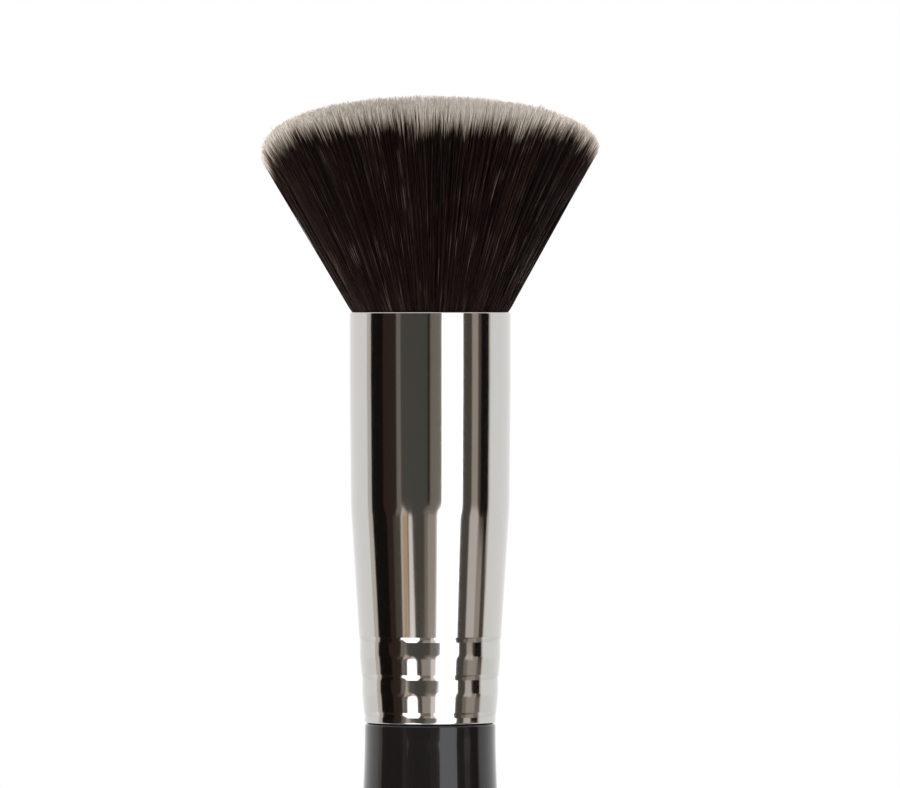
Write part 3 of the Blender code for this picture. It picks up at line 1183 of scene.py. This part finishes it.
@dataclass
class Filaments:
    """The filaments that show: the face's ends, and a full-length layer round the side."""

    shape: Shape = field(default_factory=Shape)
    core: Layer = Layer("core", 26000, 0.0, 0.90, 0.020, 0.05 * MM, 4, 4)
    rim: Layer = Layer(
        "rim", 9500, 0.90, 1.0, 0.016, 0.13 * MM, 12, 5, (-3.0 * MM, -0.30 * MM, 0.5 * MM)
    )
    shown_length: float = 4.6 * MM  # of the face's filaments, which start inside the core
    root_scatter: float = 0.004
    clumps: int = 2600
    alike: float = 0.35  # share of a clump's filaments that have one shade
    clump_pull: tuple[float, float] = (0.1, 0.5)  # how far a clump draws its tips together
    own_pull: tuple[float, float] = (0.6, 1.2)  # how much of that a filament follows
    clump_lift: float = 0.05 * MM
    clump_shift: float = 0.32 * MM  # spread of the clumps' pale lengths
    short: float = 0.13 * MM  # how much filaments end below the face
    proud_share: float = 0.004
    proud: tuple[float, float] = (0.1 * MM, 0.35 * MM)  # how far the few proud ones stand out
    sides: int = 3
    thickness: float = 0.050 * MM  # corner radius of a filament
    slimmest: float = 0.8
    stoutest: float = 1.15
    tip_share: float = 0.28  # thickness of a tip, as a share of the filament's
    taper: float = 4.0 * MM
    pale_extra: float = 1.1 * MM  # how much longer the pale ends are on one side
    pale_side: float = math.radians(-75.0)  # direction of that side, from +X
    pale_power: float = 16.0
    pale_inner: float = 2.2 * MM  # how much longer they are at the face's middle
    strip_margin: float = 0.25  # part of a map's strip that a filament leaves free on each side
    seed: int = 7
    finish: DyedFilament = field(default_factory=DyedFilament)

    def nearest_clump(self, spot: np.ndarray) -> tuple[np.ndarray, np.ndarray]:
        """Finds the clump that each filament belongs to.

        Args:
            spot: the filaments' places across the head.

        Returns:
            Number and middle of each filament's clump.
        """
        order = np.arange(self.clumps)
        centre = across(np.sqrt((order + 0.5) / self.clumps), order * GOLDEN_ANGLE)
        finder = KDTree(self.clumps)
        for number, (x, y) in enumerate(centre):
            finder.insert((x, y, 0.0), number)
        finder.balance()
        clump = np.array([finder.find((x, y, 0.0))[1] for x, y in spot])
        return clump, centre[clump]

    def lay_out(self, layer: Layer, draw: np.random.Generator) -> Strands:
        """Places a layer of filaments, and bends and gathers them.

        Args:
            layer: which layer.
            draw: source of random numbers.

        Returns:
            The layer's paths.
        """
        count = layer.count
        index = np.arange(count)
        area = layer.inner**2 + (layer.outer**2 - layer.inner**2) * (index + 0.5) / count
        spot = across(np.sqrt(area), index * GOLDEN_ANGLE)
        spot += draw.normal(0.0, self.root_scatter, spot.shape)
        spot /= np.maximum(np.linalg.norm(spot, axis=1), 1.0)[:, None]
        clump, centre = self.nearest_clump(spot)
        by_clump = np.random.default_rng(self.seed)
        pull = by_clump.uniform(*self.clump_pull, self.clumps)[clump]
        pull *= draw.uniform(*self.own_pull, count)
        lift = by_clump.normal(0.0, self.clump_lift, self.clumps)[clump]
        shift = by_clump.normal(0.0, self.clump_shift, self.clumps)[clump]
        tip_spot = spot + pull[:, None] * (centre - spot)
        tip_spot += draw.normal(0.0, layer.scatter, tip_spot.shape)
        tip_share = np.linalg.norm(tip_spot, axis=1)
        tip_spot /= np.maximum(tip_share, 1.0)[:, None]
        tip_share = np.minimum(tip_share, 1.0)
        tip_angle = np.arctan2(tip_spot[:, 1], tip_spot[:, 0])
        near_side = np.maximum(np.cos(tip_angle - self.pale_side), 0.0)
        shift -= self.pale_extra * near_side**self.pale_power
        shift -= self.pale_inner * (1.0 - tip_share**2)
        level = self.shape.face_level(tip_share, tip_angle) + lift
        level -= np.abs(draw.normal(0.0, self.short, count))
        level += (draw.random(count) < self.proud_share) * draw.uniform(*self.proud, count)
        wander = draw.normal(0.0, layer.wander, (count, 2))
        strip = draw.integers(0, self.finish.strips, count)
        clump_strip = by_clump.integers(0, self.finish.strips, self.clumps)[clump]
        strip = np.where(draw.random(count) < self.alike, clump_strip, strip)
        held = [np.full(count, height) for height in layer.held] or [level - self.shown_length]
        places = [self.shape.place(spot, height) for height in held]
        for step in range(1, layer.steps + 1):
            along = step / layer.steps
            height = held[-1] + (level - held[-1]) * along
            point = self.shape.place(spot + (tip_spot - spot) * along**2, height)
            bow = 4.0 * along * (1.0 - along)  # 1 halfway, 0 at both ends
            point[:, :2] += wander * bow
            places.append(point)
        points = np.stack(places, 1)
        lengths = np.linalg.norm(np.diff(points, axis=1), axis=2)
        to_tip = np.zeros(points.shape[:2])
        to_tip[:, :-1] = np.cumsum(lengths[:, ::-1], axis=1)[:, ::-1]
        return Strands(points, to_tip + shift[:, None], strip)

    def tree(self, sizes: dict[str, object]) -> bpy.types.NodeTree:
        """Builds the tree that gives each path its thickness, its taper and its map.

        Args:
            sizes: name and value of each of the tree's inputs.

        Returns:
            The tree.
        """
        tree, size = new_tree("filaments", sizes)
        stored = {"to_tip": "FLOAT", "strip": "FLOAT", "strand": "INT", "around": "FLOAT"}
        to_tip, strip, strand, around = (
            add_node(tree, "GeometryNodeInputNamedAttribute", {"data_type": kind}, {"Name": label})
            for label, kind in stored.items()
        )
        paths = add_node(tree, "GeometryNodeMeshToCurve", values={"Mesh": size["Geometry"]})
        tapering = {"Value": to_tip, "From Max": size["Taper"], "To Min": size["Tip Share"]}
        tapered = add_node(tree, "ShaderNodeMapRange", SMOOTH, tapering)
        between = {"Min": size["Slimmest"], "Max": size["Stoutest"]}
        drawn = {**between, "ID": strand, "Seed": size["Seed"]}
        uneven = add_node(tree, "FunctionNodeRandomValue", NUMBERS, drawn)
        full = add_node(tree, "ShaderNodeMath", MULTIPLY, {0: size["Thickness"], 1: uneven})
        radius = add_node(tree, "ShaderNodeMath", MULTIPLY, {0: full, 1: tapered})
        any_way = {"Max": 2.0 * math.pi, "ID": strand, "Seed": size["Turn Seed"]}
        turn = add_node(tree, "FunctionNodeRandomValue", NUMBERS, any_way)
        tilted = add_node(tree, "GeometryNodeSetCurveTilt", values={"Curve": paths, "Tilt": turn})
        circle = {"Resolution": self.sides, "Radius": 1.0}
        section = add_node(tree, "GeometryNodeCurvePrimitiveCircle", values=circle)
        parameter = add_node(tree, "GeometryNodeSplineParameter")
        on_points = {"data_type": "FLOAT", "domain": "POINT"}
        values = {"Geometry": section, "Name": "around", "Value": parameter}
        section = add_node(tree, "GeometryNodeStoreNamedAttribute", on_points, values)
        spun = {"Curve": tilted, "Profile Curve": section, "Scale": radius, "Fill Caps": True}
        mapped = add_node(tree, "GeometryNodeCurveToMesh", values=spun)
        width = 1.0 - 2.0 * self.strip_margin
        inset = add_node(tree, "ShaderNodeMath", MULTIPLY_ADD, {0: around, 1: width, 2: strip})
        lined = add_node(tree, "ShaderNodeMath", ADD, {0: inset, 1: self.strip_margin})
        aside = add_node(tree, "ShaderNodeMath", DIVIDE, {0: lined, 1: size["Strips"]})
        led = add_node(tree, "ShaderNodeMath", ADD, {0: to_tip, 1: size["Lead"]})
        down = add_node(tree, "ShaderNodeMath", DIVIDE, {0: led, 1: size["Reach"]})
        along = add_node(tree, "ShaderNodeMath", SUBTRACT, {0: 1.0, 1: down})
        on_map = add_node(tree, "ShaderNodeCombineXYZ", values={"X": aside, "Y": along})
        as_map = {"data_type": "FLOAT2", "domain": "CORNER"}
        for label in (self.finish.map_name, BAKE_MAP):
            values = {"Geometry": mapped, "Name": label, "Value": on_map}
            mapped = add_node(tree, "GeometryNodeStoreNamedAttribute", as_map, values)
        for label in stored:
            values = {"Geometry": mapped, "Name": label}
            mapped = add_node(tree, "GeometryNodeRemoveAttribute", values=values)
        close_tree(tree, mapped, size["Finish"])
        return tree

    def guide(self, name: str, strands: Strands, picked: np.ndarray) -> bpy.types.Object:
        """Makes the mesh of bare paths that the tree turns into filaments.

        Args:
            name: name of the piece.
            strands: paths of a layer.
            picked: numbers of the strands to take.

        Returns:
            An object with a line of edges for each strand.
        """
        points = strands.points[picked]
        strand_count, point_count, _ = points.shape
        mesh = bpy.data.meshes.new(name)
        mesh.vertices.add(strand_count * point_count)
        mesh.vertices.foreach_set("co", points.astype(np.float32).ravel())
        first = np.arange(strand_count * point_count).reshape(strand_count, point_count)
        edges = np.stack((first[:, :-1], first[:, 1:]), 2)
        mesh.edges.add(strand_count * (point_count - 1))
        mesh.edges.foreach_set("vertices", edges.astype(np.int32).ravel())
        strip = np.repeat(strands.strip[picked], point_count)
        for label, kind, values in (
            ("to_tip", "FLOAT", strands.to_tip[picked].ravel().astype(np.float32)),
            ("strip", "FLOAT", strip.astype(np.float32)),
            ("strand", "INT", np.repeat(picked, point_count).astype(np.int32)),
        ):
            mesh.attributes.new(label, kind, "POINT").data.foreach_set("value", values)
        return link_piece(name, mesh)

    def build(self) -> list[bpy.types.Object]:
        """Grows the filaments.

        Returns:
            Their pieces.
        """
        sizes = {
            "Thickness": self.thickness,
            "Slimmest": self.slimmest,
            "Stoutest": self.stoutest,
            "Tip Share": self.tip_share,
            "Taper": self.taper,
            "Strips": float(self.finish.strips),
            "Reach": self.finish.reach,
            "Lead": self.finish.lead,
            "Seed": self.seed,
            "Turn Seed": self.seed + 2,  # the paths are drawn with the seed between
            "Finish": self.finish.material(),
        }
        tree = self.tree(sizes)
        draw = np.random.default_rng(self.seed + 1)
        pieces = []
        for layer in (self.core, self.rim):
            strands = self.lay_out(layer, draw)
            for part in range(layer.parts):
                picked = np.arange(part, layer.count, layer.parts)
                guide = self.guide(f"filaments_{layer.name}_{part + 1}", strands, picked)
                piece = grown(guide, tree, sizes)
                piece.data.shade_smooth()
                pieces.append(piece)
        return pieces

    def dress(self, pieces: Sequence[bpy.types.Object]) -> None:
        """Fixes the filaments to the brush. Their tree has dressed them."""
        for piece in pieces:
            finish_piece(piece, Node.TUFT)


# Studio


class Tone(Enum):
    """Cloths and boards of the studio, as the plate shows them."""

    BLACK = "#0E0B09"
    UMBER = "#2A1F1A"
    SLATE = "#3E3D38"
    TAUPE = "#403A33"
    STONE = "#665F57"
    CLAY = "#887E74"
    OCHRE = "#A08464"
    PUTTY = "#A9A199"
    PALE = "#C4BDB6"
    WHITE = "#FFFFFF"


class Row(Enum):
    """The rows of reflectors, from the floor up.

    Each lies between two places of (distance from the brush's axis, height).
    """

    FLOOR = ((0.085, 0.003), (0.320, 0.003))
    FOOT = ((0.320, 0.003), (0.320, 0.063))
    LOW = ((0.320, 0.063), (0.320, 0.092))
    BEND = ((0.320, 0.092), (0.320, 0.106))
    HIGH = ((0.320, 0.106), (0.320, 0.300))


# Each row's reflectors from left to right, with the directions where each ends at its foot and
# at its top, in degrees from the camera's side towards +X. Each begins where the last one ends.
FIRST_EDGE = -102.0
LAYOUT: dict[Row, tuple[tuple[Tone, float, float], ...]] = {
    Row.HIGH: (
        (Tone.PUTTY, -93.5, -93.5),
        (Tone.BLACK, -71.0, -71.0),
        (Tone.UMBER, -48.5, -51.5),
        (Tone.STONE, -41.5, -47.0),
        (Tone.SLATE, -4.0, -4.0),
        (Tone.UMBER, 0.0, 1.0),
        (Tone.STONE, 16.5, 16.5),
        (Tone.WHITE, 47.5, 48.0),
        (Tone.TAUPE, 62.0, 62.0),
        (Tone.CLAY, 72.5, 72.5),
        (Tone.TAUPE, 77.0, 80.0),
        (Tone.BLACK, 92.5, 92.5),
        (Tone.PUTTY, 95.5, 95.5),
    ),
    Row.BEND: (
        (Tone.PUTTY, -92.5, -93.5),
        (Tone.BLACK, -66.0, -71.0),
        (Tone.UMBER, -52.0, -48.5),
        (Tone.STONE, -43.0, -41.0),
        (Tone.PUTTY, -31.0, -40.5),
        (Tone.SLATE, -12.0, -2.0),
        (Tone.STONE, 9.0, 16.5),
        (Tone.WHITE, 46.0, 47.5),
        (Tone.TAUPE, 60.0, 62.0),
        (Tone.PUTTY, 76.0, 73.0),
        (Tone.TAUPE, 78.0, 76.5),
        (Tone.BLACK, 91.0, 92.5),
        (Tone.PUTTY, 96.0, 95.5),
    ),
    Row.LOW: (
        (Tone.PUTTY, -92.0, -92.0),
        (Tone.BLACK, -66.0, -66.0),
        (Tone.UMBER, -56.0, -56.0),
        (Tone.TAUPE, -45.0, -43.5),
        (Tone.PUTTY, -42.0, -40.5),
        (Tone.OCHRE, -35.0, -33.5),
        (Tone.STONE, -32.5, -31.5),
        (Tone.PALE, -22.5, -27.5),
        (Tone.TAUPE, -9.0, -8.0),
        (Tone.STONE, -4.0, -3.5),
        (Tone.CLAY, 8.0, 8.5),
        (Tone.PALE, 10.5, 11.0),
        (Tone.WHITE, 44.0, 45.0),
        (Tone.TAUPE, 58.5, 59.5),
        (Tone.PUTTY, 74.5, 74.5),
        (Tone.CLAY, 85.0, 85.0),
        (Tone.TAUPE, 94.0, 94.0),
        (Tone.PUTTY, 96.5, 96.5),
    ),
    Row.FOOT: (
        (Tone.PUTTY, -92.0, -92.0),
        (Tone.BLACK, -66.0, -66.0),
        (Tone.UMBER, -53.0, -47.0),
        (Tone.STONE, -50.0, -41.0),
        (Tone.TAUPE, -48.0, -35.5),
        (Tone.WHITE, -17.5, -24.0),
        (Tone.TAUPE, -10.0, -15.5),
        (Tone.CLAY, 1.0, 1.0),
        (Tone.PALE, 9.5, 9.5),
        (Tone.WHITE, 43.0, 43.5),
        (Tone.TAUPE, 57.0, 57.0),
        (Tone.STONE, 66.0, 64.0),
        (Tone.CLAY, 83.0, 83.0),
        (Tone.STONE, 94.0, 94.0),
        (Tone.PUTTY, 97.0, 97.0),
    ),
    Row.FLOOR: (
        (Tone.PUTTY, -92.0, -92.0),
        (Tone.UMBER, -49.0, -50.0),
        (Tone.WHITE, -17.0, -18.0),
        (Tone.STONE, 1.0, 1.0),
        (Tone.PALE, 7.0, 7.0),
        (Tone.WHITE, 43.0, 43.0),
        (Tone.TAUPE, 66.0, 66.0),
        (Tone.STONE, 93.0, 93.0),
        (Tone.PUTTY, 97.0, 97.0),
    ),
}


@dataclass(frozen=True)
class Lamp:
    """A soft square lamp, with its power in watts and its beam's spread in degrees."""

    name: str
    place: tuple[float, float, float]
    size: float
    power: float
    spread: float = 180.0


@dataclass
class Studio:
    """White surroundings, a pale floor, reflectors, soft lights and the camera."""

    view_centre: tuple[float, float] = (1.98 * MM, 141.15 * MM)  # along X and Z
    view_width: float = 90.0 * MM
    lens: float = 360.0
    sensor: float = 36.0
    clipping: tuple[float, float] = (0.01, 20.0)
    plate: str = "#C8C6C2"  # the plate's own colour, which tints what it reflects
    white_gain: float = 1.5  # a white board is brighter than the picture can show
    card_steps: int = 12
    floor_radius: float = 1.5
    floor_sides: int = 96
    floor_fibre: float = 1.0 / 60.0  # coarser than a card's real fibres, so that it shows
    floor_colours: tuple[str, str] = ("#DAD9D7", "#DDDCDB")
    glow_from: float = 0.25  # distance at which the floor starts to fade into the white
    glow_share: float = 0.95  # of its radius, at which nothing of it is left to see
    aim_height: float = 0.155
    lamps: tuple[Lamp, ...] = (
        Lamp("key_lamp", (-0.3, -0.6, 0.45), 0.4, 3.2),
        Lamp("top_lamp", (-0.1, -0.25, 0.9), 0.6, 5.0),
        Lamp("left_back_lamp", (-0.50, 0.25, 0.03), 0.3, 0.5, 35.0),
        Lamp("right_back_lamp", (0.50, 0.25, 0.03), 0.3, 0.6, 35.0),
    )

    def world(self) -> None:
        """Surrounds the brush with even white."""
        world = bpy.data.worlds.new("white_surroundings")
        world.use_nodes = True
        connect(world.node_tree.nodes["Background"], {"Color": WHITE_LIGHT, "Strength": 1.0})
        bpy.context.scene.world = world
        bpy.context.scene.view_settings.view_transform = "Standard"

    def floor(self) -> None:
        """Lays a pale floor that fades into the white surroundings."""
        material, tree, shader = blank_material("matt_white_card")
        mottled(shader, self.floor_colours, self.floor_fibre, 2.0)
        connect(shader, {"Roughness": 0.9, "Specular IOR Level": 0.1})
        place = add_node(tree, "ShaderNodeTexCoord").outputs["Object"]
        away = add_node(tree, "ShaderNodeVectorMath", {"operation": "LENGTH"}, {0: place})
        glow_to = self.glow_share * self.floor_radius
        fading = {"Value": away, "From Min": self.glow_from, "From Max": glow_to}
        lost = add_node(tree, "ShaderNodeMapRange", SMOOTH, fading)
        glow = add_node(tree, "ShaderNodeEmission", values={"Color": WHITE_LIGHT})
        mixed = add_node(tree, "ShaderNodeMixShader", values={0: lost, 1: shader, 2: glow})
        connect(tree.nodes["Material Output"], {"Surface": mixed})
        mesh = bmesh.new()
        bmesh.ops.create_circle(
            mesh, cap_ends=True, segments=self.floor_sides, radius=self.floor_radius
        )
        piece = formed("floor", mesh)
        piece.data.materials.append(material)

    def glowing(self, name: str, tone: Tone) -> bpy.types.Material:
        """Makes a reflector's material, which shines so that the plate shows its tone.

        Args:
            name: name of the material.
            tone: tone of the reflector in the plate.

        Returns:
            The material.
        """
        material = bpy.data.materials.new(name)
        material.use_nodes = True
        tree = material.node_tree
        tree.nodes.clear()
        gain = self.white_gain if tone is Tone.WHITE else 1.0
        light = [part / plate for part, plate in zip(linear(tone.value), linear(self.plate))]
        glow = add_node(tree, "ShaderNodeEmission", values={"Color": light, "Strength": gain})
        add_node(tree, "ShaderNodeOutputMaterial", values={"Surface": glow})
        return material

    def place_card(
        self, name: str, tone: Tone, edges: Sequence[tuple[float, float, float, float]]
    ) -> None:
        """Stands a reflector in its place, where only what shines shows it.

        Args:
            name: name of the reflector.
            tone: its tone.
            edges: its lower and upper edge, each as its start and end in degrees, its distance
                from the axis and its height.
        """
        mesh = bmesh.new()
        rows = []
        for start, end, away, height in edges:
            row = []
            for step in range(self.card_steps + 1):
                angle = math.radians(start + (end - start) * step / self.card_steps)
                point = (away * math.sin(angle), -away * math.cos(angle), height)
                row.append(mesh.verts.new(point))
            rows.append(row)
        for step in range(self.card_steps):
            mesh.faces.new((rows[0][step], rows[0][step + 1], rows[1][step + 1], rows[1][step]))
        piece = formed(name, mesh)
        piece.data.materials.append(self.glowing(name, tone))
        for kind in ("camera", "diffuse", "shadow", "transmission"):
            setattr(piece, f"visible_{kind}", False)

    def cards(self) -> None:
        """Stands the reflectors of every row, numbered in order."""
        number = 0
        for row, layout in LAYOUT.items():
            low, high = row.value
            foot, top = FIRST_EDGE, FIRST_EDGE
            for tone, foot_end, top_end in layout:
                edges = ((foot, foot_end, *low), (top, top_end, *high))
                self.place_card(f"reflector_{number}", tone, edges)
                foot, top = foot_end, top_end
                number += 1

    def hang(self, lamp: Lamp) -> None:
        """Hangs a lamp so that it faces the head, unseen by the camera and in what shines.

        Args:
            lamp: which lamp.
        """
        data = bpy.data.lights.new(lamp.name, "AREA")
        data.size = lamp.size
        data.energy = lamp.power
        data.spread = math.radians(lamp.spread)
        hung = bpy.data.objects.new(lamp.name, data)
        bpy.context.scene.collection.objects.link(hung)
        hung.location = lamp.place
        aim = Vector((0.0, 0.0, self.aim_height)) - Vector(lamp.place)
        hung.rotation_euler = aim.to_track_quat("-Z", "Y").to_euler()
        hung.visible_camera = False
        hung.visible_glossy = False

    def camera(self) -> None:
        """Stands the camera in front of the brush, level with the ferrule's upper half."""
        data = bpy.data.cameras.new("camera")
        data.lens = self.lens
        data.sensor_width = self.sensor
        data.clip_start, data.clip_end = self.clipping
        camera = bpy.data.objects.new("camera", data)
        bpy.context.scene.collection.objects.link(camera)
        aside, height = self.view_centre
        camera.location = (aside, -self.view_width * self.lens / self.sensor, height)
        camera.rotation_euler = (0.5 * math.pi, 0.0, 0.0)
        bpy.context.scene.camera = camera

    def build(self) -> None:
        """Sets up the studio."""
        self.world()
        self.floor()
        self.cards()
        for lamp in self.lamps:
            self.hang(lamp)
        self.camera()


def main() -> None:
    """Builds and dresses the sub-assemblies, then sets up the studio."""
    logging.basicConfig(level=logging.INFO, format="%(name)s: %(message)s")
    stem = (Handle(), Ferrule())
    knot = (BindingThread(), PottedRoots(), PackedCore(), Filaments())
    for assembly in (*stem, *knot):
        assembly.dress(assembly.build())
    Bond().dress()
    Studio().build()


if __name__ == "__main__":
    main()
